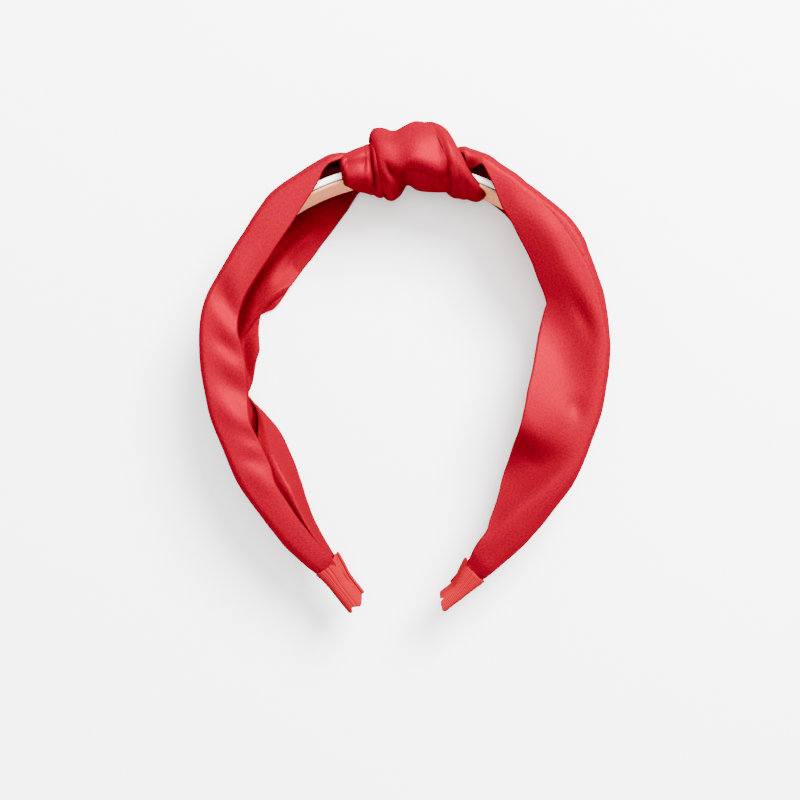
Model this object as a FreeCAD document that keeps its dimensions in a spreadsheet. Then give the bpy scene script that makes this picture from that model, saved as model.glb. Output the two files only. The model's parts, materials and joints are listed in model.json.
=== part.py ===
import FreeCAD, Part
import math
import os
import re

import Sketcher
from FreeCAD import Placement, Rotation, Vector

# Knotted headband, lying flat: +X right, +Y towards the knot, +Z up, millimetres.
# The origin is the middle of the base. The plastic hoop is a plane curve at the height
# core_mid. A place on it is given by its run, the length along the centreline from the
# crown, and by its out, the distance square to the curve, positive away from the head.

doc = FreeCAD.newDocument("knotted_headband")
sheet = doc.addObject("Spreadsheet::Sheet", "Dimensions")
SIDES = ("left", "right")
UP = Vector(0, 0, 1)

DIMENSIONS = {
    # hoop centreline: crown arc, shoulder arc, side arc and straight tip
    "crown_y": 71.2,
    "crown_radius": 76,
    "crown_turn": 30,
    "shoulder_radius": 57,
    "shoulder_turn": 60,
    "left_side_radius": 96,
    "left_side_turn": 37,
    "right_side_radius": 107.2,
    "right_side_turn": 45.5,
    # the right arm is the longer; every place along its tip moves out by this much
    "left_tip_extra": 0,
    "right_tip_extra": 2.5,
    # where each arm flexes beside the knot
    "left_flex_run": 23.5,
    "right_flex_run": 33.5,
    "flex_gap": 0.6,
    # plastic core, adhesive film and suede lining
    "core_mid": 21,
    "core_thick": 2.2,
    "core_width": 25,
    "core_end_run": 207.5,
    "core_end_width": 11,
    "film_thick": 0.3,
    "lining_thick": 1,
    "lining_width": 24,
    "lining_end_run": 192,
    "lining_end_width": 12,
    # satin cloth, double with folded edges
    "cloth": 1,
    # knot around the core, with a gathered strand behind it
    "tunnel_play": 0.1,
    "strand_out": 7,
    "strand_height": 18,
    "strand_left_run": 8,
    "strand_right_run": 15,
    "tunnel_left_run": 28,
    "tunnel_right_run": 36,
    "left_fold_x": -9.5,
    "right_fold_x": 17,
    "fold_gap": 0.1,
    # gathered satin, glue and ribbon at each tip
    "gather_start_run": 196,
    "gather_end_run": 206.5,
    "glue_start_run": 207.7,
    "glue_end_run": 209.2,
    "ribbon_start_run": 195,
    "ribbon_waist_run": 204,
    "ribbon_end_run": 211.6,
    "ribbon_wall": 0.8,
    "mouth_thick": 10,
    "mouth_width": 16,
    "waist_thick": 8,
    "waist_width": 14,
    "end_thick": 9,
    "end_width": 15,
}

# Sections of a satin cover, a channel open towards the head:
# run, outer face, edge of the upper flange, edge of the lower flange, bottom, top.
COVER_WORDS = ("run", "face", "upper", "lower", "bottom", "top")
COVER_SECTIONS = {
    "left": [
        (25.3, 9.0, 3.6, -7.4, 2, 38),
        (35, 7.6, -1.6, -12.2, 0.5, 38),
        (45, 6.8, -7.2, -15.6, 0.3, 38),
        (55, 4.8, -9.8, -17.4, 0.3, 38),
        (65, 4.2, -9.4, -17.8, 0.3, 38),
        (76, 4.4, -8.8, -17.0, 0.3, 38),
        (88, 5.6, -7.6, -11.4, 0.3, 38),
        (100, 6.7, -8.0, -11.2, 0.3, 38),
        (112, 6.8, -9.2, -8.8, 0.3, 38),
        (126, 6.9, -7.4, -6.4, 0.3, 38),
        (140, 6.8, -6.4, -11.6, 0.8, 37.5),
        (154, 7.2, -5.6, -11.0, 2, 36.5),
        (168, 7.6, -3.8, -7.6, 4, 35),
        (182, 6.8, -3.6, -4.4, 8, 32.5),
        (194.6, 4.6, -3.6, -3.6, 12.5, 29.5),
    ],
    "right": [
        (35.3, 8.8, -3.8, -1.6, 2, 38),
        (44, 7.3, -8.8, -3.2, 0.5, 38),
        (54, 7.3, -12.0, -6.0, 0.3, 38),
        (65, 7.6, -13.6, -8.4, 0.3, 38),
        (76, 6.4, -14.8, -9.6, 0.3, 38),
        (88, 6.4, -16.4, -10.2, 0.3, 38),
        (100, 6.5, -19.0, -12.4, 0.3, 38),
        (112, 6.8, -20.2, -12.4, 0.3, 38),
        (126, 7.0, -20.6, -12.2, 0.3, 38),
        (140, 6.8, -19.4, -11.8, 0.8, 37.5),
        (154, 6.8, -16.8, -9.8, 2, 36.5),
        (168, 6.3, -13.2, -7.4, 4, 35),
        (182, 5.8, -8.8, -5.0, 8, 32.5),
        (197.1, 4.6, -3.6, -3.6, 12.5, 29.5),
    ],
}
# Sections of the knot: run (negative to the left), middle, half depth, half height.
KNOT_WORDS = ("run", "middle", "depth", "height")
KNOT_SECTIONS = [
    (-21.8, 1.0, 5.6, 17.5),
    (-12, 0.8, 9.4, 20.5),
    (-4, 2.6, 12.4, 21.4),
    (5, 4.7, 13.3, 21.6),
    (14, 3.6, 12, 21.4),
    (23, -0.4, 8.6, 19.2),
    (31.8, -1.2, 4.8, 17),
]


def fill_sheet():
    """Puts every driving dimension in the sheet, each under its own alias."""
    rows = dict(DIMENSIONS)
    for side in SIDES:
        for number, values in enumerate(COVER_SECTIONS[side]):
            for word, value in zip(COVER_WORDS, values):
                rows[f"{side}_{word}_{number}_of_cover"] = value
    for number, values in enumerate(KNOT_SECTIONS):
        for word, value in zip(KNOT_WORDS, values):
            rows[f"{word}_{number}_of_knot"] = value
    for line, (alias, value) in enumerate(rows.items(), start=1):
        sheet.set(f"A{line}", alias)
        sheet.set(f"B{line}", str(value))
        sheet.setAlias(f"B{line}", alias)
    doc.recompute()


def size(alias):
    return float(sheet.get(alias))


def cells(formula):
    """Names the sheet before every dimension in a formula."""
    return re.sub(r"[a-z]\w*", lambda word: f"Dimensions.{word.group(0)}", formula)


def bind(item, **formulas):
    for name, formula in formulas.items():
        item.setExpression(name, cells(formula))


def direction(side, heading):
    """Forward direction along one half of the hoop, which heads down from the crown."""
    across = math.cos(heading) if side == "right" else -math.cos(heading)
    return Vector(across, -math.sin(heading), 0)


def outward_at(side, heading):
    across = math.sin(heading) if side == "right" else -math.sin(heading)
    return Vector(across, math.cos(heading), 0)


def hoop_legs(side):
    """The three arcs of half the centreline: radius alias, radius, turn in radians."""
    names = ("crown", "shoulder", f"{side}_side")
    return [
        (f"{name}_radius", size(f"{name}_radius"), math.radians(size(f"{name}_turn")))
        for name in names
    ]


def station(side, run):
    """Point of the centreline in plan, and its heading, at a run along one side."""
    point, heading, left = Vector(0, size("crown_y"), 0), 0.0, run
    for _, radius, turn in hoop_legs(side):
        step = min(turn, left / radius)
        chord = 2 * radius * math.sin(step / 2)
        point += direction(side, heading + step / 2) * chord
        heading += step
        left -= radius * step
    return point + direction(side, heading) * left, heading


def tip_run(side, alias):
    """Run of a place along one tip, on the arm's own length."""
    return size(alias) + size(f"{side}_tip_extra")


def square_to_hoop(side, run, out=0.0):
    """Placement with X outward, Y up and Z along the hoop."""
    point, heading = station(side, run)
    outward = outward_at(side, heading)
    point += outward * out + UP * size("core_mid")
    return Placement(point, Rotation(outward, UP, outward.cross(UP), "ZXY"))


def centreline(name, side, start, end):
    """Sketch of the hoop's centreline between two runs along one side."""
    sketch = doc.addObject("Sketcher::SketchObject", name)
    before, radii = 0.0, []
    for alias, radius, turn in hoop_legs(side):
        after = before + radius * turn
        first, last = max(start, before), min(end, after)
        if last > first:
            edges = [station(side, run)[0] for run in (first, (first + last) / 2, last)]
            radii.append((sketch.addGeometry(Part.Arc(*edges), False), alias))
        before = after
    if end > before:
        ends = station(side, before)[0], station(side, end)[0]
        sketch.addGeometry(Part.LineSegment(*ends), False)
    for number, alias in radii:
        fixed = Sketcher.Constraint("Radius", number, size(alias))
        index = sketch.addConstraint(fixed)
        sketch.renameConstraint(index, f"arc_{number}")
        bind(sketch, **{f"Constraints.arc_{number}": alias})
    bind(sketch, **{"Placement.Base.z": "core_mid"})
    return sketch


def outline(name, side, run, corners, out=0.0):
    """Closed outline square to the hoop; each corner is a pair of formulas."""
    sketch = doc.addObject("Sketcher::SketchObject", name)
    count = len(corners)
    points = [Vector(10 * math.cos(k), 10 * math.sin(k), 0) for k in range(count)]
    rules = []
    for k in range(count):
        sketch.addGeometry(Part.LineSegment(points[k], points[(k + 1) % count]), False)
        rules.append(Sketcher.Constraint("Coincident", k, 2, (k + 1) % count, 1))
    for k, point in enumerate(points):
        rules.append(Sketcher.Constraint("DistanceX", -1, 1, k, 1, point.x))
        rules.append(Sketcher.Constraint("DistanceY", -1, 1, k, 1, point.y))
    sketch.addConstraint(rules)
    for k, pair in enumerate(corners):
        for step, formula in enumerate(pair):
            index = count + 2 * k + step
            sketch.renameConstraint(index, f"corner_{k}_{'xy'[step]}")
            bind(sketch, **{f"Constraints.corner_{k}_{'xy'[step]}": formula})
    sketch.Placement = square_to_hoop(side, run, out)
    return sketch


def block(low, high, width):
    """Corner formulas of a rectangle from low to high outward and a width upward."""
    half = f"({width}) / 2"
    return [(low, f"-{half}"), (high, f"-{half}"), (high, half), (low, half)]


def node(kind, name):
    item = doc.addObject(kind, name)
    item.Label = name
    return item


def swept(name, side, start, end, first, last):
    """Solid along one side of the hoop, from the first outline to the last."""
    item = node("Part::Sweep", name)
    path = centreline(f"{name}_path", side, start, end)
    doc.recompute()
    item.Sections = [
        outline(f"{name}_first", side, start, first),
        outline(f"{name}_last", side, end, last),
    ]
    item.Spine = (path, [f"Edge{k + 1}" for k in range(len(path.Shape.Edges))])
    item.Solid = True
    return item


def lofted(name, sections):
    item = node("Part::Loft", name)
    item.Sections = sections
    item.Solid = True
    return item


def straight(name, side, start, end, first, last):
    """Solid along the straight tip, from the first outline to the last."""
    item = lofted(
        name,
        [
            outline(f"{name}_first", side, start, first),
            outline(f"{name}_last", side, end, last),
        ],
    )
    item.Ruled = True
    return item


def cut(name, base, tool):
    item = node("Part::Cut", name)
    item.Base = base
    item.Tool = tool
    return item


def strip_faces():
    """Low face, high face and widths of each layer of the hoop."""
    inner = "-core_thick / 2"
    film = f"{inner} - film_thick"
    return {
        "core": (inner, "core_thick / 2", "core_width", "core_end_width"),
        "glue_film": (film, inner, "lining_width", "lining_end_width"),
        "lining": (f"{film} - lining_thick", film, "lining_width", "lining_end_width"),
    }


def arm_layer(layer, side):
    """One layer of an arm, from the flex line to its end."""
    low, high, wide, narrow = strip_faces()[layer]
    start = size(f"{side}_flex_run") + size("flex_gap") / 2
    end = tip_run(side, "core_end_run" if layer == "core" else "lining_end_run")
    shapes = block(low, high, wide), block(low, high, narrow)
    return swept(f"{side}_arm_{layer}", side, start, end, *shapes)


def crown_strip(name, corners, left_end, right_end):
    """Solid along the crown arc, under the knot, between two runs."""
    halves = []
    for side, end in (("left", left_end), ("right", right_end)):
        halves.append(swept(f"{name}_{side}_half", side, 0, end, corners, corners))
    item = node("Part::Fuse", name)
    item.Base, item.Tool = halves
    item.Refine = True
    return item


def cover(side):
    """Satin cover of one arm: a folded channel lofted through its sections."""
    sections = []
    for number in range(len(COVER_SECTIONS[side])):
        cell = {word: f"{side}_{word}_{number}_of_cover" for word in COVER_WORDS}
        face, upper, lower = cell["face"], cell["upper"], cell["lower"]
        bottom = f"{cell['bottom']} - core_mid"
        top = f"{cell['top']} - core_mid"
        corners = [
            (lower, bottom),
            (face, bottom),
            (face, top),
            (upper, top),
            (upper, f"{top} - cloth"),
            (f"{face} - cloth", f"{top} - cloth"),
            (f"{face} - cloth", f"{bottom} + cloth"),
            (lower, f"{bottom} + cloth"),
        ]
        name = f"{side}_cover_section_{number}"
        sections.append(outline(name, side, size(cell["run"]), corners))
    return lofted(f"{side}_satin_cover", sections)


def ring(name, number):
    """Ellipse square to the hoop: one section of the knot."""
    run = size(f"run_{number}_of_knot")
    side = "right" if run >= 0 else "left"
    place = square_to_hoop(side, abs(run), size(f"middle_{number}_of_knot"))
    section = doc.addObject("Part::Ellipse", name)
    bind(section, MajorRadius=f"height_{number}_of_knot", MinorRadius=f"depth_{number}_of_knot")
    outward = place.Rotation.multVec(Vector(1, 0, 0))
    section.Placement = Placement(place.Base, Rotation(UP, outward, UP.cross(outward), "ZXY"))
    return section


def slab(name, low_x, high_x):
    """Everything above the base between two planes across the knot."""
    box = doc.addObject("Part::Box", name)
    bind(
        box,
        Length=f"({high_x}) - ({low_x})",
        Width="crown_y",
        Height="2 * core_mid + core_width",
        **{"Placement.Base.x": low_x, "Placement.Base.y": "crown_y / 2"},
    )
    return box


def knot():
    """Three folds of satin round the hoop, and the gathered strand under them."""
    form = lofted("knot_form", [ring(f"knot_ring_{k}", k) for k in range(len(KNOT_SECTIONS))])
    inner = strip_faces()["lining"][0]
    around = block(
        f"{inner} - tunnel_play",
        "core_thick / 2 + tunnel_play",
        "core_width + 2 * tunnel_play",
    )
    tunnel = crown_strip("knot_tunnel", around, size("tunnel_left_run"), size("tunnel_right_run"))

    play = size("tunnel_play")
    ends = size("strand_left_run"), size("strand_right_run")
    strand = block("core_thick / 2 + tunnel_play", "strand_out", "strand_height")
    crown_strip("knot_inner_strand", strand, *ends)
    room = block(
        "core_thick / 4",
        "strand_out + tunnel_play",
        "strand_height + 2 * tunnel_play",
    )
    hollow = crown_strip("strand_room", room, ends[0] + play, ends[1] + play)

    far = "3 * core_width"
    folds = {
        "knot_left_fold": (f"-{far}", "left_fold_x - fold_gap / 2"),
        "knot_main_wrap": ("left_fold_x + fold_gap / 2", "right_fold_x - fold_gap / 2"),
        "knot_right_fold": ("right_fold_x + fold_gap / 2", far),
    }
    for name, (low_x, high_x) in folds.items():
        part = node("Part::Common", f"{name}_full")
        part.Base = form
        part.Tool = slab(f"{name}_slab", low_x, high_x)
        if name == "knot_main_wrap":
            part = cut(f"{name}_open", part, hollow)
        cut(name, part, tunnel)


def crown():
    """The hoop's three layers between the flex lines, inside the knot."""
    ends = [size(f"{side}_flex_run") - size("flex_gap") / 2 for side in SIDES]
    for layer, (low, high, wide, _) in strip_faces().items():
        crown_strip(f"crown_{layer}", block(low, high, wide), *ends)


def rounded(name, side, run, thick, width):
    """Rectangle with bevelled corners, square to the hoop."""
    x, y, bevel = f"({thick}) / 2", f"({width}) / 2", f"({thick}) / 5"
    corners = [
        (f"{x} - {bevel}", f"-{y}"),
        (x, f"-{y} + {bevel}"),
        (x, f"{y} - {bevel}"),
        (f"{x} - {bevel}", y),
        (f"-{x} + {bevel}", y),
        (f"-{x}", f"{y} - {bevel}"),
        (f"-{x}", f"-{y} + {bevel}"),
        (f"-{x} + {bevel}", f"-{y}"),
    ]
    return outline(name, side, run, corners)


def tube(name, side, shrink):
    """Shape of the ribbon at one tip, shrunk all round: mouth, waist and cut end."""
    stops = []
    for word in ("mouth", "waist", "end"):
        run = tip_run(side, "ribbon_start_run" if word == "mouth" else f"ribbon_{word}_run")
        thick, width = (f"{word}_{way} - 2 * ({shrink})" for way in ("thick", "width"))
        stops.append(rounded(f"{name}_{word}", side, run, thick, width))
    loft = lofted(name, stops)
    loft.Ruled = True
    return loft


def tip(side):
    """Ribbon wound round one tip, the satin gathered inside it and the glue."""
    outer = tube(f"{side}_ribbon_outer", side, "0")
    inner = tube(f"{side}_ribbon_inner", side, "ribbon_wall")
    cut(f"{side}_ribbon_wrap", outer, inner)

    spare = "ribbon_wall + tunnel_play"
    packing = tube(f"{side}_packing", side, spare)
    wide = block("-mouth_thick", "mouth_thick", "2 * mouth_width")
    ends = tip_run(side, "gather_start_run"), tip_run(side, "gather_end_run")
    stretch = straight(f"{side}_packing_reach", side, *ends, wide, wide)
    bundle = node("Part::Common", f"{side}_bundle")
    bundle.Base = packing
    bundle.Tool = stretch
    slot = block(
        "-core_thick / 2 - tunnel_play",
        "core_thick / 2 + tunnel_play",
        "core_end_width + 1",
    )
    core_slot = straight(f"{side}_core_slot", side, ends[0] - 1, ends[1] + 1, slot, slot)
    cut(f"{side}_gathered_satin", bundle, core_slot)

    bead = block("-waist_thick / 4", "waist_thick / 4", "core_end_width")
    small = block("-waist_thick / 5", "waist_thick / 5", "core_end_width - 2")
    ends = tip_run(side, "glue_start_run"), tip_run(side, "glue_end_run")
    straight(f"{side}_tip_glue", side, *ends, bead, small)


NODES = (
    ["crown_core", "crown_glue_film", "crown_lining"]
    + ["knot_main_wrap", "knot_left_fold", "knot_right_fold", "knot_inner_strand"]
    + [
        f"{side}_{piece}"
        for side in SIDES
        for piece in (
            "arm_core",
            "arm_glue_film",
            "arm_lining",
            "satin_cover",
            "gathered_satin",
            "ribbon_wrap",
            "tip_glue",
        )
    ]
)


def check_document():
    """Stops at an object that failed, or at a sub-part with no valid shape."""
    for item in doc.Objects:
        if {"Invalid", "Error"} & set(item.State):
            raise RuntimeError(f"{item.Name} failed: {item.State}")
    for name in NODES:
        shape = doc.getObject(name).Shape
        if shape.isNull() or not shape.isValid() or shape.Volume <= 0:
            raise RuntimeError(f"{name} has no valid shape")


def main():
    fill_sheet()
    crown()
    knot()
    for side in SIDES:
        for layer in strip_faces():
            arm_layer(layer, side)
        cover(side)
        tip(side)
    doc.recompute()
    check_document()
    os.makedirs("parts", exist_ok=True)
    for name in NODES:
        shape = doc.getObject(name).Shape
        shape.exportStep(f"parts/{name}.step")
        print(f"{name}: {shape.Volume:.0f} mm3, {len(shape.Solids)} solid")


main()
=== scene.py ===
import json
import math

import bpy
import numpy as np
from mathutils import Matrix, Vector


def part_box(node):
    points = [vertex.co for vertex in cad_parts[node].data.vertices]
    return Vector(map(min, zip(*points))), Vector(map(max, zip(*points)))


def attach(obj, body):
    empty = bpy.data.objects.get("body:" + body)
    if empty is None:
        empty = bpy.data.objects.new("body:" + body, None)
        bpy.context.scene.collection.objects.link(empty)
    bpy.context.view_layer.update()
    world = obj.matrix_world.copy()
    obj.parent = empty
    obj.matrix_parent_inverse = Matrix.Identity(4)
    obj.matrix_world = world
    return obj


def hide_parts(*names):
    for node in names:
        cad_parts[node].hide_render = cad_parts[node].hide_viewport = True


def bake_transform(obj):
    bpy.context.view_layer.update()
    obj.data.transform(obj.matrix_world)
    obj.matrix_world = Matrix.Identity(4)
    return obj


# The looks of a knotted satin headband lying flat: +X right, +Y to the knot, +Z up.
# Lengths in this file are millimetres; meshes are made in metres. A place on the hoop is
# its run along the centreline from the crown and its out, square to it, away from the head.

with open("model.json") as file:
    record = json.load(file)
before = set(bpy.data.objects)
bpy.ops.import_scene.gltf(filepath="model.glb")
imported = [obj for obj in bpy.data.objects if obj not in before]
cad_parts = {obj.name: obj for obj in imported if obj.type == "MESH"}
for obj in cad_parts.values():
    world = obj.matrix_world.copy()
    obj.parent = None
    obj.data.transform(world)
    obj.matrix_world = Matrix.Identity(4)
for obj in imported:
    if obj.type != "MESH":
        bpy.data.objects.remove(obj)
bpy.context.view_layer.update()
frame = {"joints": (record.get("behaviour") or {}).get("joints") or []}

MM = 0.001
SIDES = ("left", "right")
CORE_THICK = 2.2
CORE_WIDTH, CORE_TIP_WIDTH = 25, 11
CORE_END, LINING_END = 207.5, 192  # runs where the left half's layers stop
NARROW_FROM = {"left": 23.8, "right": 33.8}  # run where the hoop begins to narrow
FILM = 0.3
LINING = 1.0
LINING_WIDTH, LINING_TIP_WIDTH = 24, 10.4
LINING_FUZZ = 0.22
CLOTH = 0.9
RIBBON_CLOTH = 0.6
CLEAR = 0.5  # least height of the satin's underside above the table
HOOP_ARCS = {  # radius and turn in degrees of each arc of half the centreline
    "left": ((76, 30), (57, 60), (96, 37)),
    "right": ((76, 30), (57, 60), (107.2, 45.5)),
}
TIP_EXTRA = {"left": 0, "right": 2.5}
CROWN_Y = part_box("crown_core")[1].y / MM - CORE_THICK / 2
MID = frame["joints"][0]["pos_m"][2] / MM


# ---------------------------------------------------------------- curves and meshes

def through(points, every=None):
    """Smooth curve through (place, value...) points; it repeats if every is given."""
    table = np.array(points, float)
    if every:
        table = np.vstack([table, table, table])
        count = len(points)
        table[:count, 0] -= every
        table[2 * count :, 0] += every
        table = table[np.argsort(table[:, 0])]
    x, y = table[:, 0], table[:, 1:]
    step = np.diff(x)
    secant = np.diff(y, axis=0) / step[:, None]
    slope = np.zeros_like(y)
    before, after = secant[:-1], secant[1:]
    same = before * after > 0
    total = np.where(same, before + after, 1)
    slope[1:-1] = np.where(same, 2 * before * after / total, 0)
    slope[0], slope[-1] = secant[0], secant[-1]

    def at(place):
        place = np.clip(np.asarray(place, float), x[0], x[-1])
        k = np.clip(np.searchsorted(x, place) - 1, 0, len(step) - 1)
        t = (place - x[k]) / step[k]
        t = t[..., None]
        width = step[k][..., None]
        value = (
            (1 + 2 * t) * (1 - t) ** 2 * y[k]
            + t * (1 - t) ** 2 * width * slope[k]
            + t * t * (3 - 2 * t) * y[k + 1]
            + t * t * (t - 1) * width * slope[k + 1]
        )
        return value[..., 0] if value.shape[-1] == 1 else value

    return at


def smooth(value, low=0.0, high=1.0):
    t = np.clip((value - low) / (high - low), 0, 1)
    return t * t * (3 - 2 * t)


def hump(value, centre, width):
    """A soft bump of height 1 about a centre."""
    return np.exp(-(((value - centre) / width) ** 2))


def hoop(side, run):
    """Points of the centreline in plan and the outward directions there."""
    run = np.asarray(run, float)
    heading = np.zeros_like(run)
    x, y, left = np.zeros_like(run), np.full_like(run, CROWN_Y), run.copy()
    for radius, turn in HOOP_ARCS[side]:
        step = np.clip(left / radius, 0, math.radians(turn))
        chord = 2 * radius * np.sin(step / 2)
        x += chord * np.cos(heading + step / 2)
        y -= chord * np.sin(heading + step / 2)
        heading += step
        left -= radius * step
    x += left * np.cos(heading)
    y -= left * np.sin(heading)
    way = -1 if side == "left" else 1
    points = np.stack([way * x, y], -1)
    return points, np.stack([way * np.sin(heading), np.cos(heading)], -1)


def beside(side, run, out, z):
    """Points at a run, an out and a height; the three broadcast together."""
    run, out, z = np.broadcast_arrays(run, out, z)
    points, outward = hoop(side, run)
    plan = points + outward * out[..., None]
    return np.concatenate([plan, z[..., None]], -1)


def normals_of(grid, closed):
    """Unit normals of a grid of points; closed means the rows run right round."""
    if closed:
        along = np.roll(grid, -1, 0) - np.roll(grid, 1, 0)
    else:
        along = np.gradient(grid, axis=0)
    across = np.gradient(grid, axis=1)
    normal = np.cross(along, across)
    return normal / np.maximum(np.linalg.norm(normal, axis=-1, keepdims=True), 1e-9)


def mesh_object(name, points, faces, weave=None):
    mesh = bpy.data.meshes.new(name)
    mesh.from_pydata((points * MM).tolist(), [], faces)
    mesh.update()
    if weave is not None:
        layer = mesh.attributes.new("weave", "FLOAT_VECTOR", "POINT")
        layer.data.foreach_set("vector", weave.astype(np.float32).ravel())
    for face in mesh.polygons:
        face.use_smooth = True
    item = bpy.data.objects.new(name, mesh)
    bpy.context.scene.collection.objects.link(item)
    return item


def loops_mesh(name, loops, closed, weave):
    """Skin over closed loops of equal length, capped at both ends unless closed."""
    rows, count = loops.shape[:2]
    faces = []
    for i in range(rows if closed else rows - 1):
        a, b = i * count, (i + 1) % rows * count
        for j in range(count):
            k = (j + 1) % count
            faces.append((a + j, a + k, b + k, b + j))
    if not closed:
        half = count // 2
        last = (rows - 1) * count
        for j in range(half):
            k, mate, after = (j + 1) % count, count - 1 - j, count - 2 - j
            if k == after or j >= after:
                continue
            faces.append((j, mate, after, k))
            faces.append((last + j, last + k, last + after, last + mate))
    return mesh_object(name, loops.reshape(-1, 3), faces, weave.reshape(-1, 3))


ROUND_KNOT = 100.0  # weave length given to a fold that runs right round
OTHER_FACE = 40.0  # weave offset that sets a sheet's two faces apart


def cloth(name, grid, thick, closed=False, flip=False):
    """Closed mesh of a sheet that thick about a grid, with rounded long edges."""
    normal = normals_of(grid, closed) * (-1 if flip else 1)
    upper = grid + normal * thick / 2
    lower = grid - normal * thick / 2

    def lip(edge, inner):
        away = edge - inner
        away /= np.maximum(np.linalg.norm(away, axis=-1, keepdims=True), 1e-9)
        return (edge + away * thick * 0.45)[:, None]

    first, last = lip(grid[:, 0], grid[:, 1]), lip(grid[:, -1], grid[:, -2])
    loops = np.concatenate([upper, last, lower[:, ::-1], first], 1)
    rows, columns = grid.shape[:2]
    along = np.linalg.norm(np.diff(grid.mean(1), axis=0), axis=-1)
    along = np.concatenate([[0], np.cumsum(along)])
    if closed:
        along = np.cumsum(np.full(rows, ROUND_KNOT / rows))
    across = np.linalg.norm(np.diff(grid, axis=1), axis=-1)
    across = np.concatenate([np.zeros((rows, 1)), np.cumsum(across, 1)], 1)
    across -= across[:, columns // 2][:, None]
    order = np.concatenate([across, across[:, -1:], across[:, ::-1], across[:, :1]], 1)
    layer = np.concatenate([np.zeros(columns + 1), np.full(columns + 1, OTHER_FACE)])
    weave = np.stack(
        [np.broadcast_to(along[:, None], order.shape), order, np.broadcast_to(layer, order.shape)],
        -1,
    )
    if not flip:
        loops, weave = loops[:, ::-1], weave[:, ::-1]
    return loops_mesh(name, loops, closed, weave)


def dented(run, out, dents):
    """Depth of soft dents: run, out, half length, half width, slant in degrees, depth."""
    depth = np.zeros(np.broadcast(run, out).shape)
    for at_run, at_out, length, width, slant, deep in dents:
        c, s = math.cos(math.radians(slant)), math.sin(math.radians(slant))
        u = (run - at_run) * c + (out - at_out) * s
        v = (out - at_out) * c - (run - at_run) * s
        depth += deep * np.exp(-((u / length) ** 2) - (v / width) ** 2)
    return depth


def ripple(run, across, seed, size):
    """Slow undulation of slack cloth, about one millimetre high at size 1."""
    random = np.random.default_rng(seed)
    total = np.zeros(np.broadcast(run, across).shape)
    for length in (34, 21, 13):
        angle, phase = random.uniform(-0.5, 0.5), random.uniform(0, 6.28)
        total += length / 70 * np.sin(
            (run * math.cos(angle) + across * math.sin(angle)) * 6.283 / length + phase
        )
    return size * total


# ---------------------------------------------------------------- materials

class Nodes:
    """Small helper to build a node material."""

    def __init__(self, name):
        self.material = bpy.data.materials.new(name)
        self.material.use_nodes = True
        self.tree = self.material.node_tree
        self.shader = self.tree.nodes["Principled BSDF"]
        self.output = self.tree.nodes["Material Output"]

    def add(self, kind, inputs=None, **settings):
        node = self.tree.nodes.new(kind)
        for name, value in settings.items():
            setattr(node, name, value)
        for name, value in (inputs or {}).items():
            self.put(node, name, value)
        return node

    def put(self, node, name, value):
        if isinstance(value, bpy.types.NodeSocket):
            self.tree.links.new(value, node.inputs[name])
        else:
            node.inputs[name].default_value = value

    def set(self, **inputs):
        for name, value in inputs.items():
            self.put(self.shader, name.replace("_", " "), value)

    def weave(self, scale):
        """Places on the cloth, in millimetres, stretched by scale."""
        source = self.add("ShaderNodeAttribute", attribute_name="weave")
        mapping = self.add("ShaderNodeMapping", {"Vector": source.outputs["Vector"], "Scale": scale})
        return mapping.outputs[0]

    def place(self, scale):
        source = self.add("ShaderNodeTexCoord")
        mapping = self.add("ShaderNodeMapping", {"Vector": source.outputs["Object"], "Scale": scale})
        return mapping.outputs[0]

    def noise(self, vector, scale, detail=3, rough=0.6):
        inputs = {"Vector": vector, "Scale": scale, "Detail": detail, "Roughness": rough}
        return self.add("ShaderNodeTexNoise", inputs).outputs["Fac"]

    def remap(self, value, low, high, to_low, to_high):
        inputs = {
            "Value": value, "From Min": low, "From Max": high,
            "To Min": to_low, "To Max": to_high,
        }
        return self.add("ShaderNodeMapRange", inputs).outputs[0]

    def mix(self, share, first, second):
        node = self.add("ShaderNodeMix", data_type="RGBA")
        self.put(node, 0, share)
        self.put(node, 6, first)
        self.put(node, 7, second)
        return node.outputs[2]

    def join(self, how, first, second):
        node = self.add("ShaderNodeMath", operation=how)
        self.put(node, 0, first)
        self.put(node, 1, second)
        return node.outputs[0]

    def blend_shader(self, share, other):
        """Let another shader give a share of the look beside the main one."""
        node = self.add("ShaderNodeMixShader", {"Fac": share})
        self.tree.links.new(self.shader.outputs[0], node.inputs[1])
        self.tree.links.new(other.outputs[0], node.inputs[2])
        self.tree.links.new(node.outputs[0], self.output.inputs["Surface"])

    def bump(self, height, strength, distance):
        inputs = {"Height": height, "Strength": strength, "Distance": distance}
        return self.add("ShaderNodeBump", inputs).outputs[0]


def satin_material():
    n = Nodes("crimson_satin")
    grain = n.noise(n.weave((1, 1, 1)), 1.5, 2, 0.7)
    threads = n.noise(n.weave((0.6, 1.3, 1)), 1.4, 2, 0.6)
    slow = n.noise(n.weave((1, 1, 1)), 0.05, 2, 0.5)
    base = n.mix(n.remap(grain, 0.3, 0.7, 0, 1), (0.08, 0.0, 0.0035, 1), (0.165, 0.0, 0.0075, 1))
    base = n.mix(n.remap(slow, 0.35, 0.65, 0, 0.25), base, (0.135, 0.0, 0.006, 1))
    relief = n.bump(n.join("ADD", grain, threads), 0.35, 0.00012)
    n.set(Base_Color=base, Roughness=0.8, Specular_IOR_Level=0.0, Normal=relief)
    sheen = n.mix(n.remap(threads, 0.35, 0.65, 0, 1), (0.09, 0.0, 0.004, 1), (0.14, 0.0, 0.006, 1))
    spread = n.remap(grain, 0.3, 0.7, 0.42, 0.54)
    gloss = n.add("ShaderNodeBsdfGlossy", {"Color": sheen, "Normal": relief, "Roughness": spread})
    n.blend_shader(0.3, gloss)
    return n.material


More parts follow.
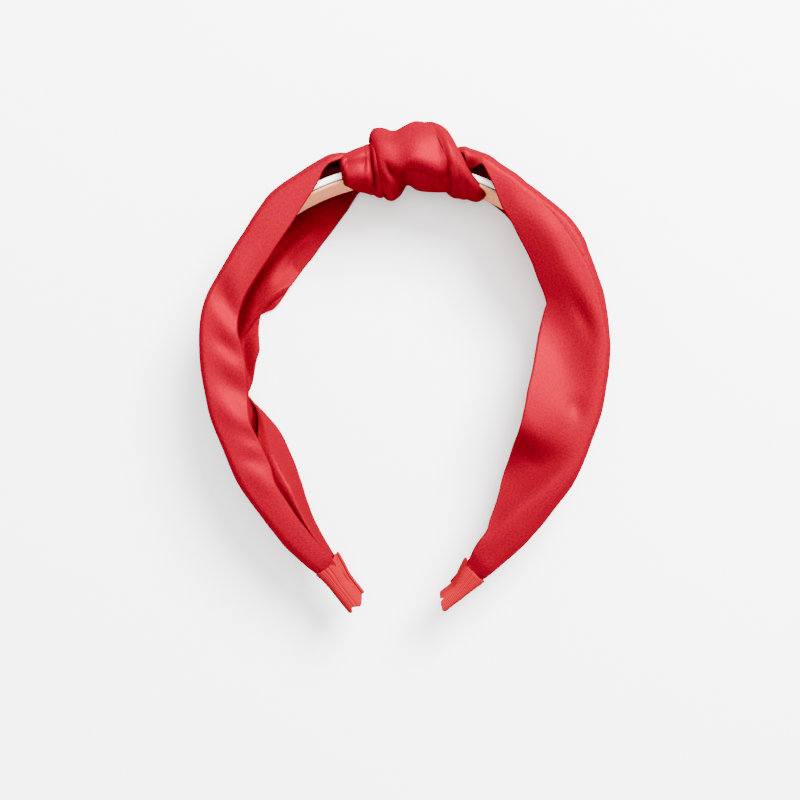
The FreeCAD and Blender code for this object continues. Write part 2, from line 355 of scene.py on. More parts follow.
def ribbon_material():
    n = Nodes("coral_grosgrain")
    ribs = n.add(
        "ShaderNodeTexWave",
        {"Vector": n.weave((1, 1, 1)), "Scale": 0.5, "Distortion": 0.6, "Detail": 1},
        bands_direction="Y",
    ).outputs["Fac"]
    grain = n.noise(n.weave((1, 1, 1)), 3, 2, 0.6)
    base = n.mix(n.remap(ribs, 0, 1, 0, 1), (0.125, 0.001, 0.004, 1), (0.22, 0.004, 0.009, 1))
    base = n.mix(n.remap(grain, 0.35, 0.7, 0, 0.3), base, (0.22, 0.006, 0.012, 1))
    n.set(
        Base_Color=base, Roughness=0.7, Specular_IOR_Level=0.0,
        Normal=n.bump(n.join("ADD", ribs, grain), 0.4, 0.0002),
    )
    return n.material


def plastic_material():
    n = Nodes("white_plastic")
    specks = n.noise(n.place((1, 1, 1)), 900, 3, 0.6)
    base = n.mix(n.remap(specks, 0.3, 0.7, 0, 1), (0.78, 0.72, 0.73, 1), (0.9, 0.86, 0.87, 1))
    n.set(
        Base_Color=base, Roughness=n.remap(specks, 0.3, 0.7, 0.36, 0.5),
        Normal=n.bump(specks, 0.15, 0.0001),
    )
    return n.material


def suede_material():
    n = Nodes("beige_suedette")
    nap = n.noise(n.place((1, 1, 1)), 1500, 4, 0.7)
    patches = n.noise(n.place((1, 1, 1)), 160, 2, 0.5)
    base = n.mix(n.remap(nap, 0.3, 0.7, 0, 1), (0.46, 0.155, 0.068, 1), (0.68, 0.265, 0.128, 1))
    base = n.mix(n.remap(patches, 0.35, 0.7, 0, 0.35), base, (0.66, 0.285, 0.145, 1))
    n.set(
        Base_Color=base, Roughness=0.95, Specular_IOR_Level=0.0,
        Normal=n.bump(nap, 0.7, 0.0003),
    )
    return n.material


def adhesive_shade_material():
    # A thin glue film between core and lining; its near-black colour also paints the shaded seam line
    # between them.
    n = Nodes("contact_adhesive_painted_shade")
    drag = n.noise(n.place((1, 1, 0.2)), 700, 3, 0.6)
    base = n.mix(n.remap(drag, 0.35, 0.7, 0, 1), (0.02, 0.012, 0.012, 1), (0.08, 0.05, 0.045, 1))
    n.set(Base_Color=base, Roughness=0.5, Normal=n.bump(drag, 0.4, 0.0002))
    return n.material


def glue_material():
    n = Nodes("cloudy_glue")
    cloud = n.noise(n.place((1, 1, 1)), 500, 3, 0.6)
    base = n.mix(n.remap(cloud, 0.3, 0.7, 0, 1), (0.82, 0.62, 0.58, 1), (0.95, 0.88, 0.84, 1))
    n.set(Base_Color=base, Roughness=n.remap(cloud, 0.3, 0.7, 0.12, 0.3), Transmission_Weight=0.35)
    return n.material


def paper_material():
    n = Nodes("pale_table")
    grain = n.noise(n.place((1, 1, 1)), 350, 3, 0.6)
    base = n.mix(n.remap(grain, 0.3, 0.7, 0, 1), (0.87, 0.86, 0.87, 1), (0.89, 0.88, 0.89, 1))
    n.set(
        Base_Color=base, Roughness=0.9, Specular_IOR_Level=0.1,
        Emission_Color=(1, 0.995, 1, 1), Emission_Strength=0.3,
    )
    return n.material


SATIN = satin_material()
RIBBON = ribbon_material()
PLASTIC = plastic_material()
SUEDE = suede_material()
ADHESIVE_SHADE = adhesive_shade_material()
GLUE = glue_material()


def dress(item, material):
    item.data.materials.append(material)
    return item


# ---------------------------------------------------------------- hoop

FLEX_RUN = {"left": (20, 62), "right": (30, 72)}


def follow(item, side):
    """Bake the piece's placement into its mesh; the stretch beside the knot is looked up, but the piece is
    not bent.
    """
    start, end = FLEX_RUN[side]
    points, _ = hoop(side, [start, end])
    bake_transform(item)


def strip(name, side, low, high, widths, end, fuzz, seed):
    """Half of one layer of the hoop, from the crown to its end, with soft edges."""
    wide, narrow = widths
    rounding = min((high - low) / 2, 0.5)
    runs = np.arange(0, end + 0.01, 1.0 if not fuzz else 0.35)
    narrowing = np.interp(runs, [NARROW_FROM[side], end], [wide, narrow])
    corners = []
    for x, y in ((high, 1), (low, 1), (low, -1), (high, -1)):
        inward = rounding if x == low else -rounding
        bend = [(x, y, 0, rounding), (x, y, inward * 0.3, rounding * 0.3), (x, y, inward, 0)]
        corners += bend if (x, y) in ((high, 1), (low, -1)) else bend[::-1]
    random = np.random.default_rng(seed)
    ragged = random.normal(0, 1, (len(runs), 2))
    kernel = np.array([0.25, 0.5, 0.25])
    for k in range(2):
        ragged[:, k] = np.convolve(ragged[:, k], kernel, "same")
    ragged = -np.abs(ragged) * fuzz
    loops = []
    for x, y, inset, drop in corners:
        out = np.full_like(runs, x + inset)
        z = MID + y * (narrowing / 2 - drop + ragged[:, 0 if y > 0 else 1])
        loops.append(beside(side, runs, out, z))
    loops = np.stack(loops, 1)
    weave = np.zeros_like(loops)
    weave[..., 0] = runs[:, None]
    if side == "left":
        loops, weave = loops[:, ::-1], weave[:, ::-1]
    return loops_mesh(name, loops, False, weave)


def build_hoop(side):
    """Core, glue film and lining of one half of the hoop."""
    extra = TIP_EXTRA[side]
    half = CORE_THICK / 2
    core, lined = (CORE_WIDTH, CORE_TIP_WIDTH), (LINING_WIDTH, LINING_TIP_WIDTH)
    layers = (
        ("core", -half, half, core, CORE_END, 0, PLASTIC, "core_plastic"),
        # The glue film is real, but its near-black colour paints the shade of the seam between core and
        # lining.
        ("glue_film", -half - FILM, -half, lined, LINING_END, 0, ADHESIVE_SHADE, "adhesive"),
        ("lining", -half - FILM - LINING, -half - FILM, lined, LINING_END, LINING_FUZZ, SUEDE,
         "lining_suede"),
    )
    for number, (layer, low, high, widths, end, fuzz, material, slot) in enumerate(layers):
        name = f"{side}_half_{layer}"
        piece = strip(name, side, low, high, widths, end + extra, fuzz, 7 + number)
        dress(piece, material)
        nodes = [f"{side}_arm_{layer}"] + ([f"crown_{layer}"] if side == "left" else [])
        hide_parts(*nodes)
        follow(piece, side)


# ---------------------------------------------------------------- satin covers

FACE = {  # run and out of the wall's widest place
    "left": [
        (12, 4.2), (17, 6.2), (21, 7.9), (25, 8.6), (31, 7.8), (37, 6.9), (43, 6.5), (48, 6.0),
        (52, 5.0), (56, 4.2), (60, 3.4), (64, 3.0), (72, 3.0), (80, 4.0), (87, 5.5), (94, 6.5),
        (100, 6.7), (118, 6.8), (128, 7.1), (139, 6.9), (150, 7.6), (162, 8.0), (176, 7.9),
        (186, 6.6), (193, 5.0), (198, 3.0), (205, 2.2),
    ],
    "right": [
        (12, 5.0), (16, 8.0), (20, 10.0), (27, 9.8), (32, 8.5), (38, 7.7), (43, 6.8), (49, 6.7),
        (54, 7.2), (61, 7.7), (67, 7.4), (73, 6.3), (81, 5.9), (88, 6.1), (98, 6.3), (105, 6.7),
        (115, 6.7), (126, 7.0), (136, 6.7), (151, 6.8), (159, 6.6), (168, 6.0), (177, 5.6),
        (187, 5.0), (196, 4.4), (201, 3.2), (208, 2.6),
    ],
}
UPPER = {  # run and out of the upper flange's edge
    "left": [
        (12, 2.4), (17, 3.6), (21, 5.0), (25, 4.8), (28, 3.4), (31, 0.6), (35, -2.1), (43, -5.9),
        (50, -8.2), (58, -9.5), (66, -10.0), (73, -9.6), (83, -8.2), (93, -7.1), (98, -7.3),
        (105, -8.6), (112, -9.3), (122, -8.1), (128, -7.0), (135, -6.0), (142, -6.2),
        (151, -5.7), (159, -3.6), (166, -3.0), (176, -2.4), (183, -2.4), (192, -2.8), (198, -2.2),
        (205, -1.2),
    ],
    "right": [
        (12, 3.2), (17, 6.6), (19, 6.6), (20.2, 5.2), (21.4, 3.2), (23, 2.6), (24.6, 3.6), (25.8, 4.8),
        (27, 4.2), (29, 2.4), (33, -1.0), (39, -5.9), (44, -8.0), (53, -11.1), (64, -13.1),
        (74, -14.3), (80, -14.2), (84, -14.2), (88, -15.7),
        (98, -18.4), (107, -19.7), (116, -20.3), (124, -20.7), (133, -20.1), (146, -18.6),
        (155, -16.8), (163, -15.2), (171, -12.7), (180, -9.8), (184, -8.0), (190, -7.0),
        (196, -4.6), (201, -2.2), (208, -1.2),
    ],
}
LOWER = {  # run and out of the lower flange's edge
    "left": [
        (12, -1.2), (16, -2.0), (25, -7.9), (39, -14.4), (52, -17.4), (66, -18.1), (79, -16.9),
        (84.5, -15.0), (87, -12.4), (89, -10.8), (94, -10.8), (101, -11.2), (104, -11.4),
        (109, -9.9), (117, -7.4), (123, -4.8), (126, -5.8), (130, -7.9), (135, -9.9),
        (140, -11.3), (144.5, -11.7), (155, -10.8), (163, -8.8), (170, -6.4), (178, -4.3),
        (187, -3.2), (198, -2.6), (205, -2.2),
    ],
    "right": [
        (12, -1.0), (30, -0.4), (40, -1.6), (50, -4.4), (64, -7.8), (76, -9.2), (86, -9.6),
        (98, -11.8), (120, -13.8), (140, -12.2), (154, -9.4), (168, -7.0), (182, -4.6),
        (196, -3.0), (208, -2.2),
    ],
}
HEIGHTS = {  # run, bottom and top of the folded satin
    "left": [
        (12, 9, 33), (17, 6, 35.5), (21, 4, 37.4), (26, 1.6, 38), (34, 0.8, 38), (45, 0.6, 38),
        (126, 0.6, 38), (140, 1.2, 37.5), (154, 2.2, 36.5), (168, 4.2, 35), (182, 8, 32.5),
        (190, 11, 30.5), (196, 14.4, 27.6), (205, 15.8, 26.2),
    ],
    "right": [
        (12, 9, 33), (17, 6, 36), (21, 4, 37.6), (27, 2, 38.2), (36, 0.8, 38.4), (45, 0.6, 38.4),
        (126, 0.6, 38.4), (140, 1.2, 38), (154, 2.2, 36.8), (168, 4.2, 35), (182, 7.5, 33),
        (192, 11, 30.8), (198, 14.4, 27.6), (208, 15.8, 26.2),
    ],
}
TUCK = [  # run, out and height where the left lower flange turns up and ends, near the tip
    (122, -4.6, 6), (132, -4.7, 13), (141, -4.4, 21), (150, -3.4, 27.4), (160, -2.2, 29.2),
    (172, -1.7, 28.8), (182, -1.8, 28.3), (190, -2.4, 27.6), (197, -2.95, 26), (205, -2.4, 24.8),
]
TUCK_FOOT = 3
TUCK_SHAPE = [  # place along the turned part, share of its out and share of its height
    (0, 0, 0), (0.2, 0.1, 0.34), (0.4, 0.24, 0.72), (0.55, 0.36, 0.96), (0.66, 0.46, 1.06),
    (0.78, 0.62, 1.05), (0.9, 0.84, 1), (1, 1, 0.99),
]
TUCK_BOW = [  # run and how far the turned part's crest stands back from the arm
    (120, 0), (145, -0.08), (155, 0), (166, 0.14), (182, 0.14), (194, 0), (208, 0),
]
TOP_DENTS = {  # run, out, half length, half width, slant, depth
    "left": [
        (88, -2.4, 9, 4.0, -34, 1.9), (97, -4.4, 9, 2.8, -36, -0.5), (104.5, -3.4, 6, 3.0, -40, 1.0),
        (112.5, -5, 6, 3.2, -34, -0.4), (120.5, -4.6, 8, 4.2, -26, 1.7),
        (131, -2.4, 10, 3.2, -30, -0.7), (139, -4.4, 5, 2.5, -24, 0.6), (147, -1.6, 4.5, 3, -34, 0.8),
        (156, -1.0, 7, 2.6, -15, -0.4), (66, 1, 8, 4, 20, 0.3), (78, -6, 7, 3, -20, -0.2),
    ],
    "right": [
        (126.5, -3.0, 4.4, 3.4, 30, 0.9), (94, -2.8, 9, 2.4, 18, 1.0), (112, -9, 9, 6, 10, 0.4),
        (132, -9, 9, 6, -10, -0.5), (58, -1.5, 9, 3, -5, -0.5), (172, 2.5, 9, 2.6, 0, 0.4),
        (185, 1, 8, 2.5, 4, 0.5),
        (22.4, 2.4, 2.2, 2.4, 0, 3.2),
    ],
}


def right_top_drop(run, out):
    """How far the right arm's upper flange falls below its highest place."""
    brow = through([(20, 4), (35, 2.5), (45, -2.6), (60, -4.6), (72, -4.4), (84, -2.4), (96, 0), (120, 2)])
    kinked = run - (out + 14.3) * 1.15
    tilt = through([
        (10, 0.1), (34, 0.3), (48, 0.5), (66, 0.64), (80, 0.7), (84, 0.67), (92, 0.56), (102, 0.38),
        (114, 0.2), (128, 0.07), (140, 0),
    ])
    past = np.logaddexp(0, (brow(run) - out) * 1.2) / 1.2
    first = tilt(kinked) * past
    layer = through([(44, 2.4), (53, 2.6), (66, 2.0), (81, 2.5), (92, 3.1), (104, 4)])(run)
    edge = 0.8 * smooth(run, 44, 58) * (1 - smooth(run, 88, 104))
    first = first + edge * smooth(out, layer - 0.3, layer + 0.5)
    ridge = through([(130, 2), (142, 1.4), (151, -0.9), (162, -4.0), (173, -6.4), (188, -5.5), (208, -3)])
    inner = np.logaddexp(0, (ridge(run) - out) * 1.1) / 1.1
    depth = 5.0 * smooth(run, 135, 153) ** 1.6 * (1 - smooth(run, 156, 196))
    fall = 0.62 * smooth(run, 140, 164) * (1 - smooth(run, 170, 190))
    second = depth * (1 - np.exp(-inner / 3.2)) + fall * inner
    outer = np.logaddexp(0, (out - ridge(run)) * 0.9) / 0.9
    roll = 0.1 * outer * smooth(run, 146, 160)
    return first + second + roll


def left_top_drop(run, out):
    """How far the left arm's upper flange falls below its highest place."""
    brow = through([(20, 5), (40, 0), (60, -4), (85, -4), (110, -4), (150, -1.5), (196, 0)])
    slope = through([(20, 0.1), (50, 0.12), (84, 0.3), (100, 0.2), (120, 0.34), (150, 0.3), (196, 0.3)])
    past = np.logaddexp(0, (brow(run) - out) * 0.9) / 0.9
    outer = np.logaddexp(0, (out - 2.5) * 0.9) / 0.9
    return slope(run) * past + 0.1 * outer * smooth(run, 100, 170)


def left_bottom_rise(run, out):
    """How far the left arm's lower flange rises above the table."""
    crease = 88 + (out + 10.2) * 2.2
    shape = smooth(run, 56, 84) * smooth(-out, 2, 9)
    bulge = 3.8 * shape * (1 - smooth(run, crease - 2.0, crease + 3.0))
    curl = 1.6 * shape * smooth(-out, 7, 17) * (1 - smooth(run, 80, 90))
    pinch = 2.2 * smooth(run, 94, 104) * (1 - smooth(run, 108, 122)) * smooth(-out, 4, 11)
    wave = 0.9 * hump(out, -10, 3) * smooth(run, 36, 50) * (1 - smooth(run, 70, 80))
    return bulge + curl + pinch + wave


def right_bottom_rise(run, out):
    """How far the right arm's lower flange rises above the table."""
    return 2.0 * smooth(-out, 4, 13) + ripple(run, out, 4, 0.3)


TOP_DROP = {"left": left_top_drop, "right": right_top_drop}
BOTTOM_RISE = {"left": left_bottom_rise, "right": right_bottom_rise}
SHOULDER = {  # run and how far the wall's rounded top reaches inward
    "left": [(20, 4), (60, 3), (120, 2.6), (150, 3), (180, 4)],
    "right": [(20, 5), (45, 4.4), (80, 3.4), (110, 2.6), (145, 2.8), (165, 5.2), (190, 5)],
}
LOW_SHOULDER = 6.5
COVER_STEP, FLANGE_COLUMNS, WALL_COLUMNS = 0.6, 44, 53


def build_cover(side):
    """The satin folded round one arm: wall, rounded shoulders and two flanges."""
    end = 205 + TIP_EXTRA[side]
    runs = np.arange(12, end + 0.01, COVER_STEP)
    face, upper, lower = (through(t[side])(runs) for t in (FACE, UPPER, LOWER))
    bottom, top = through(HEIGHTS[side])(runs).T
    reach_top = np.clip(face - upper - 0.6, 0.8, through(SHOULDER[side])(runs))
    reach_low = np.clip(face - lower - 0.6, 0.8, LOW_SHOULDER)
    middle, half = (top + bottom) / 2, (top - bottom) / 2
    flange = np.linspace(1, 0, FLANGE_COLUMNS) ** 1.15
    turn = np.radians(np.linspace(-90, 90, WALL_COLUMNS + 2)[1:-1])
    columns = []
    tuck = smooth(runs, 120, 144) * (side == "left")
    tuck_out, tuck_z = through(TUCK)(runs).T
    split = 1 - 0.5 * smooth(runs, 120, 134) * (side == "left")
    turned = through(TUCK_SHAPE)
    stand_back = through(TUCK_BOW)(runs)
    for q in flange:
        first = np.minimum(q / split, 1)
        place = np.clip((q - split) / np.maximum(1 - split, 0.01), 0, 1)
        along, up = turned(place).T
        bow = stand_back * 4 * place * (1 - place)
        along, up = along - bow, up * (1 + 0.6 * bow)
        base = face - reach_low
        out = base + (lower - base) * np.sin(first * np.pi / 2) + (tuck_out - lower) * along * tuck
        z = bottom + BOTTOM_RISE[side](runs, out) * smooth(first, 0, 0.25) * (1 - tuck)
        z = z + TUCK_FOOT * tuck * (1 - np.cos(first * np.pi / 2))
        z = z + (tuck_z - bottom - TUCK_FOOT) * up * tuck
        columns.append((out, z))
    for angle in turn:
        c, s = math.cos(angle), math.sin(angle)
        reach = np.where(s > 0, reach_top, reach_low)
        out = face - reach + reach * abs(c) ** 0.8
        columns.append((out, middle + half * np.sign(s) * abs(s) ** 0.72))
    for q in flange[::-1]:
        out = face - reach_top + (upper - face + reach_top) * q
        columns.append((out, top))
    out = np.stack([c[0] for c in columns], 1)
    z = np.stack([c[1] for c in columns], 1)
    run = np.broadcast_to(runs[:, None], out.shape)
    share = smooth((z - middle[:, None]) / half[:, None], 0.35, 0.98)
    wavy = ripple(run, z, 11, 0.5) * smooth(run, 40, 60) * (1 - smooth(run, 170, 190))
    out = out + wavy * (1 - share) * smooth(out, -1, 4)
    fade = smooth(run, 22, 34) * (1 - smooth(run, 188, 197))
    z = z - share * TOP_DROP[side](run, out) * fade
    z = z - share * dented(run, out, TOP_DENTS[side]) * (1 - smooth(run, 188, 197))
    grid = beside(side, run, out, np.maximum(z, CLEAR + CLOTH / 2))
    piece = cloth(f"{side}_satin_cover_cloth", grid, CLOTH, flip=side == "left")
    dress(piece, SATIN)
    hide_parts(f"{side}_satin_cover", f"{side}_gathered_satin")
    follow(piece, side)


# ---------------------------------------------------------------- knot

def around(*pairs):
    """A value at angles round the hoop: 0 up, 90 away from the head, -90 towards it."""
    return through(pairs, every=360)


def ring(name, left_edge, right_edge, crest, trough, tops, bottoms, rolls, form, columns=90):
    """A fold of satin right round the hoop, its side edges rolled under.

    crest and trough give the outer and inner contour in Y by x; tops and bottoms its height.
    """
    angle = np.linspace(-180, 180, 300, endpoint=False)[:, None]
    spread = (1 - np.cos(np.linspace(0, np.pi, columns))) / 2
    x_left, x_right = left_edge(angle[:, 0])[:, None], right_edge(angle[:, 0])[:, None]
    x = x_left + (x_right - x_left) * spread[None, :]
    inset = 0
    for near, roll in ((x - x_left, rolls[0](angle)), (x_right - x, rolls[1](angle))):
        curl = np.clip(1 - near / roll, 0, 1)
        inset = inset + roll * 1.15 * (1 - np.sqrt(np.clip(1 - curl**2, 0, 1)))
    high, low = crest(x), trough(x)
    top, bottom = tops(x), bottoms(x)
    inset = inset - form(angle, x)
    depth, height = (high - low) / 2 - inset, (top - bottom) / 2 - inset
    c, s = np.cos(np.radians(angle)), np.sin(np.radians(angle))
    power = 0.86
    y = (high + low) / 2 + depth * np.sign(s) * np.abs(s) ** power
    z = (top + bottom) / 2 + height * np.sign(c) * np.abs(c) ** power
    z = np.maximum(z, CLEAR + CLOTH / 2)
    grid = np.stack([np.broadcast_to(x, y.shape), y, z], -1)
    return cloth(name, grid, CLOTH, closed=True, flip=True)


def groove(angle, x, line, depth, steep, gentle):
    """A furrow along a line of x by angle, steep on its left and gentle on its right."""
    centre = line(angle)
    return -depth(angle) * hump(x, centre, np.where(x < centre, steep, gentle))


def left_form(angle, x):
    """Pleats beside the main wrap, a shelf over the lining and a full left edge."""
    pleat = groove(
        angle, x, around((-180, -12), (-60, -10.9), (-20, -11.4), (20, -12.0), (90, -12.6)),
        around((-180, 0.3), (-90, 0.4), (-55, 1.2), (-30, 2.4), (0, 2.6), (25, 1.6), (60, 0.6), (120, 0.3)),
        0.7, 0.7,
    )
    tuck = groove(
        angle, x, around((-180, -15), (-30, -14.4), (10, -13.8), (90, -14.4)),
        around((-180, 0), (-50, 0), (-25, 0.3), (0, 0.7), (20, 0.4), (60, 0.1), (120, 0)), 1.2, 0.7,
    )
    shelf = 2.0 * hump(angle, -42, 18) - 1.3 * hump(angle, -4, 19)
    shelf = shelf - 0.9 * smooth(-angle, 48, 68) * (1 - smooth(-angle, 80, 110))
    shelf = shelf * smooth(x, -22, -20) * (1 - smooth(x, -12.5, -11))
    edge = 2.2 * hump(angle, -68, 22) - 1.1 * hump(angle, -128, 26)
    edge = edge * (1 - smooth(x, -20, -16.5))
    return pleat + tuck + edge + shelf


def main_form(angle, x):
    """Valley, band and hollow shelf of the main wrap, kept too shallow to bare the lining."""
    valley = groove(
        angle, x,
        around((-175, 1), (-120, 0.8), (-90, 0.2), (-65, -0.9), (-46, -2.8), (-32, -4.5),
               (-20, -5.7), (-8, -6.3), (60, -7.5), (150, -3)),
        around((-175, 0.6), (-120, 2.2), (-90, 3.2), (-60, 4.4), (-40, 4.4), (-26, 3.0),
               (-15, 1.0), (-5, 0), (150, 0)),
        1.1, 2.7,
    )
    ridge = -39 + 10 * hump(x, 3.5, 6)
    right = smooth(x, -8, 3) * (1 - smooth(x, 11, 15))
    shelf = -2.2 * smooth(ridge - angle, 0, 26) * (1 - smooth(-angle, 60, 98)) * right
    band = 1.5 * (hump(angle - ridge, 6, 14) - hump(angle - ridge, 46, 22)) * right
    dimple = -0.9 * hump(x, -2.5, 3.5) * hump(angle, 84, 34)
    soft = 0.3 * np.sin(np.radians(angle * 2 + x * 9)) * hump(x, 4, 9)
    total = valley + shelf + band + dimple + soft
    most = around((-180, 1.2), (-100, 1.6), (-80, 1.6), (-60, 2.1), (-42, 3.2), (-25, 3.8), (0, 2.4))(angle)
    return np.where(total < 0, -most * np.tanh(-total / most), total)


STRIP_LEFT = around(
    (-180, 10.5), (-135, 14.4), (-90, 16.7), (-60, 16.2), (-20, 14.6), (10, 12.4), (45, 8.8),
    (90, 3.6), (135, 6.4),
)


def strip_form(angle, x):
    """Hollow, lift and crease of the slanted fold; its upper edge sinks into the main wrap."""
    middle = around((-180, 16), (-90, 23), (0, 17.3), (90, 9.6))(angle)
    hollow = -0.8 * hump(x - middle, 1.2, 2.2) * smooth(-angle, -60, 20)
    lift = 1.0 * smooth(-angle, -30, 40) * (1 - smooth(-angle, 60, 90))
    upper_edge = smooth(angle, -42, -14) * (1 - smooth(angle, 110, 150))
    sink = -1.5 * hump(x, STRIP_LEFT(angle), 2.2) * upper_edge
    crease = groove(
        angle, x, around((-180, 20), (-90, 20.5), (-40, 19.2), (0, 17), (90, 10)),
        around((-180, 0), (-100, 0.5), (-60, 0.9), (-25, 0.4), (0, 0), (90, 0)), 1.6, 1.0,
    )
    return hollow + lift + sink + crease


def build_knot():
    """The three folds of the knot, from left to right."""
    left = ring(
        "knot_left_wrap",
        around((-180, -21.4), (-135, -21.2), (-90, -21.5), (-55, -22.1), (0, -22.4), (55, -22.3),
               (90, -21.9), (135, -21.9)),
        around((-180, -7.6), (0, -7.6), (90, -8.6)),
        through([(-23.5, 74.2), (-21.8, 75.6), (-18, 77.7), (-15, 79.0), (-12.5, 80.4), (-10, 82.4),
                 (-7, 82.6)]),
        through([(-23.5, 67.8), (-21.8, 66.8), (-18.3, 65.2), (-15, 64.7), (-12, 63.7),
                 (-8.5, 62.6), (-7, 62.8)]),
        through([(-23.5, 38.8), (-21, 39.6), (-17, 40.2), (-13, 40.2), (-9, 39.4), (-7, 38.6)]),
        through([(-23.5, 4.6), (-21, 3.8), (-17, 2.4), (-13, 1.8), (-7, 3)]),
        (around((0, 1.4), (180, 1.8)), around((0, 1.2), (180, 1.2))), left_form,
    )
    main = ring(
        "knot_main_wrap_cloth",
        around((-180, -10.4), (-135, -9.0), (-90, -6.6), (-60, -9.0), (-30, -9.6), (0, -10.2),
               (30, -11.3), (60, -12.1), (90, -12.7), (135, -12.2)),
        around((-180, 17), (-90, 20.5), (-40, 19), (0, 17.2), (45, 14.2), (90, 10.4), (135, 12)),
        through([(-13, 84.2), (-11, 85.6), (-8.5, 85.8), (-4.5, 85.0), (0.2, 86.6), (4.3, 87.9),
                 (9, 87.2), (14, 84), (21, 79)]),
        through([(-13, 65.0), (-8, 62.8), (-4.8, 61.6), (-2.6, 62.8), (-0.6, 65.0), (1.0, 66.0),
                 (4.8, 65.2), (11, 64.6), (16.7, 64.8), (21, 66)]),
        through([(-13, 40), (-9, 41), (-3, 42), (4, 42.6), (11, 42.2), (17, 40.8), (21, 38.8)]),
        through([(-13, 2.4), (-6, 0.9), (3, 0.3), (12, 0.9), (21, 3)]),
        (around((-180, 2.2), (-90, 0.9), (-40, 1.4), (0, 1.8), (90, 2.0)),
         around((0, 1.0), (180, 1.0))), main_form, 130,
    )
    right = ring(
        "knot_right_wrap",
        STRIP_LEFT,
        around((-180, 22.5), (-135, 27.4), (-90, 29.8), (-60, 27.6), (-30, 24.4), (0, 21.2),
               (45, 17.4), (90, 13.9), (135, 17)),
        through([(4, 88.2), (9, 87.8), (14, 85.8), (18, 82.4), (24, 77.6), (31, 73.8)]),
        through([(4, 65.4), (10, 65.0), (14, 64.6), (17, 63.2), (21, 61.8), (26, 61.2), (31, 61.6)]),
        through([(4, 42.0), (10, 42.8), (15, 42.6), (20, 41.6), (25, 39.8), (31, 37.4)]),
        through([(4, 1.2), (12, 0.3), (20, 0.5), (26, 2.2), (31, 4.4)]),
        (around((-120, 2.4), (-60, 2.4), (-25, 1.4), (5, 0.5), (110, 0.5), (180, 1.6)),
         around((0, 3.4), (180, 2.4))), strip_form,
    )
    for piece, nodes, flat in (
        (left, ("knot_left_fold",), (0.022, 0.1)),
        (main, ("knot_main_wrap", "knot_inner_strand"), (0.034, 0.115)),
        (right, ("knot_right_fold",), (0.018, 0.11)),
    ):
        dress(piece, SATIN)
        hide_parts(*nodes)
        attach(piece, "crown")


# ---------------------------------------------------------------- tips

RIBBON_SHAPE = {  # run, middle out, half thickness, half width
    "left": [
        (193.4, 0.5, 5.3, 8.3), (197, 0.4, 4.7, 7.9), (202, 0.6, 4.1, 7.4), (207, 0.5, 4.1, 7.5),
        (211.6, 0.4, 4.0, 7.8),
    ],
    "right": [
        (197.4, 0.0, 5.5, 8.4), (200, 0.3, 4.9, 8.0), (207, 0.9, 3.4, 7.2), (211, 0.4, 3.3, 7.3),
        (215.6, 0.0, 3.2, 7.6),
    ],
}
RIBBON_ENDS = {  # where the cut end lies at angles round the tip: 0 up, 90 outward
    "left": [(-180, 210.6), (-95, 209.6), (-50, 210.6), (-12, 211.8), (10, 210.4), (40, 211.9),
             (80, 211.2), (130, 210.2)],
    "right": [(-180, 211.6), (-95, 212.2), (-50, 212.8), (-32, 211.4), (-14, 213.6), (30, 215.2),
              (80, 214.4), (130, 212.6)],
}
RIBBON_MOUTHS = {
    "left": [(-180, 194), (-90, 192.2), (-50, 192.8), (0, 193.9), (60, 193.7), (120, 194.2)],
    "right": [(-180, 198), (-90, 196.6), (-56, 196.9), (-38, 198.0), (0, 198.0), (60, 197.6),
              (120, 198)],
}
RIBBON_LAP = {"left": (-62, 330), "right": (-112, 330)}  # angle of the lap, turn of the ribbon
LAP_LIFT = {"left": 0.9, "right": 0.4}
RIBS, RIB_HEIGHT = 44, 0.22


def build_ribbon(side):
    """The ribbon wound round one tip, its free end lapped over the start."""
    start, sweep = RIBBON_LAP[side]
    rows, columns = 420, 44
    turn = np.linspace(start - 34, start + sweep, rows)[:, None]
    wrapped = (turn + 180) % 360 - 180
    along = np.linspace(0, 1, columns)[None, :]
    first = around(*RIBBON_MOUTHS[side])(wrapped[:, 0])[:, None]
    last = around(*RIBBON_ENDS[side])(wrapped[:, 0])[:, None]
    run = first + (last - first) * along
    middle, thick, wide = np.moveaxis(through(RIBBON_SHAPE[side])(run), -1, 0)
    lift = LAP_LIFT[side] * smooth(turn, start + sweep - 54, start + sweep - 24) - 0.1
    plain = 0.9 * hump(wrapped, -62, 30)
    ribs = RIB_HEIGHT * np.cos(np.radians(turn * RIBS)) * (1 - plain)
    offset = lift + ribs
    c, s = np.cos(np.radians(turn)), np.sin(np.radians(turn))
    power = 0.64
    out = middle + (thick - 0.5 + offset) * np.sign(s) * np.abs(s) ** power
    z = MID + (wide - 0.5 + offset) * np.sign(c) * np.abs(c) ** power
    grid = beside(side, run, out, z)
    piece = cloth(f"{side}_ribbon_wrap_cloth", grid, RIBBON_CLOTH, flip=side == "right")
    dress(piece, RIBBON)
    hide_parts(f"{side}_ribbon_wrap")
    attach(piece, f"{side}_arm")


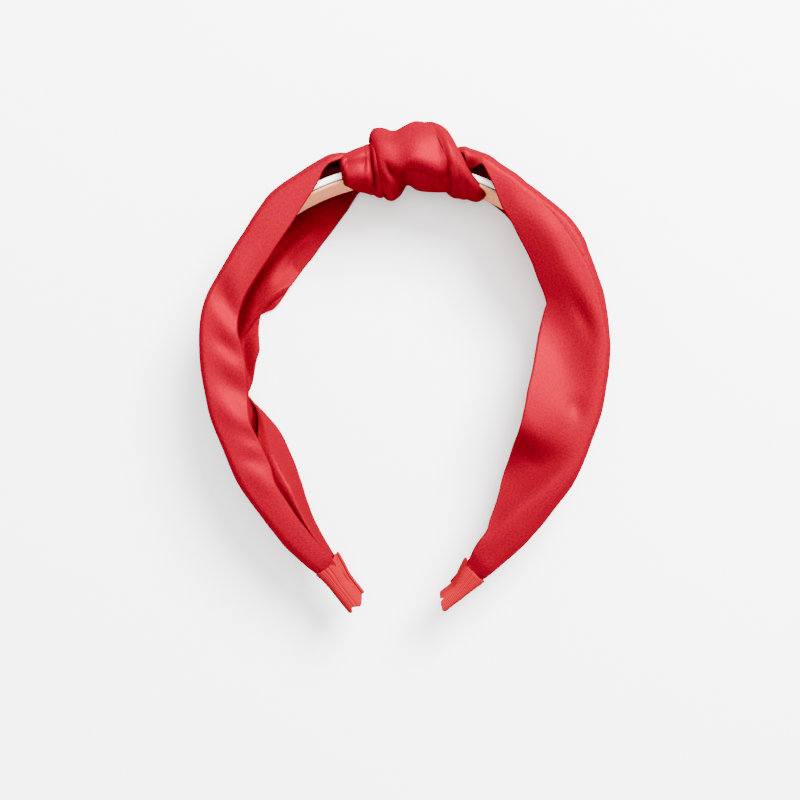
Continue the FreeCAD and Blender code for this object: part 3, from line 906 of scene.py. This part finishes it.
def build_glue(side):
    """A cloudy bead of glue that closes the tip, wavy on its open face."""
    extra = TIP_EXTRA[side]
    runs = np.linspace(206.6, 209.2, 9) + extra
    swell = np.sqrt(np.clip(1 - ((runs - runs[0]) / (runs[-1] - runs[0])) ** 3, 0.02, 1))
    angle = np.linspace(0, 2 * np.pi, 48, endpoint=False)[None, :]
    uneven = 1 + 0.06 * np.sin(3 * angle + runs[:, None]) + 0.04 * np.sin(7 * angle)
    out = 0.4 + 2.6 * np.sin(angle) * swell[:, None] * uneven
    z = MID + 6.2 * np.cos(angle) * swell[:, None] * uneven
    loops = beside(side, runs[:, None], out, z)
    weave = np.zeros_like(loops)
    if side == "left":
        loops = loops[:, ::-1]
    piece = loops_mesh(f"{side}_tip_glue_bead", loops, False, weave)
    dress(piece, GLUE)
    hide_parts(f"{side}_tip_glue")
    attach(piece, f"{side}_arm")


for side in SIDES:
    build_hoop(side)
    build_cover(side)
    build_ribbon(side)
    build_glue(side)
build_knot()


# ---------------------------------------------------------------- table, light and camera

TABLE_REACH = 6.0
CAMERA_PLACE = (-1.7 * MM, -11.9 * MM, 500 * MM)
SENSOR_WIDTH = 36
VIEW_WIDTH = 304 * MM  # how much of the table the picture spans


def build_stage():
    mesh = bpy.data.meshes.new("table")
    far = TABLE_REACH
    mesh.from_pydata([(-far, -far, 0), (far, -far, 0), (far, far, 0), (-far, far, 0)], [], [(0, 1, 2, 3)])
    table = bpy.data.objects.new("table", mesh)
    bpy.context.scene.collection.objects.link(table)
    table.data.materials.append(paper_material())


def light(name, place, width, power):
    """A round soft light that looks at the middle of the band."""
    lamp = bpy.data.lights.new(name, "AREA")
    lamp.shape = "DISK"
    lamp.size = width
    lamp.energy = power
    item = bpy.data.objects.new(name, lamp)
    item.location = place
    item.rotation_euler = (-Vector(place)).to_track_quat("-Z", "Y").to_euler()
    bpy.context.scene.collection.objects.link(item)


def build_lights():
    world = bpy.data.worlds.new("studio")
    world.use_nodes = True
    world.node_tree.nodes["Background"].inputs["Color"].default_value = (1, 0.99, 1, 1)
    world.node_tree.nodes["Background"].inputs["Strength"].default_value = 1.55
    bpy.context.scene.world = world
    light("window", (0.4, 0.58, 0.85), 0.6, 90)
    light("overhead", (0.0, 0.2, 1.4), 0.8, 26)


def build_camera():
    camera = bpy.data.cameras.new("camera")
    camera.sensor_width = SENSOR_WIDTH
    camera.lens = SENSOR_WIDTH * CAMERA_PLACE[2] / VIEW_WIDTH
    item = bpy.data.objects.new("camera", camera)
    item.location = CAMERA_PLACE
    bpy.context.scene.collection.objects.link(item)
    bpy.context.scene.camera = item


build_stage()
build_lights()
build_camera()
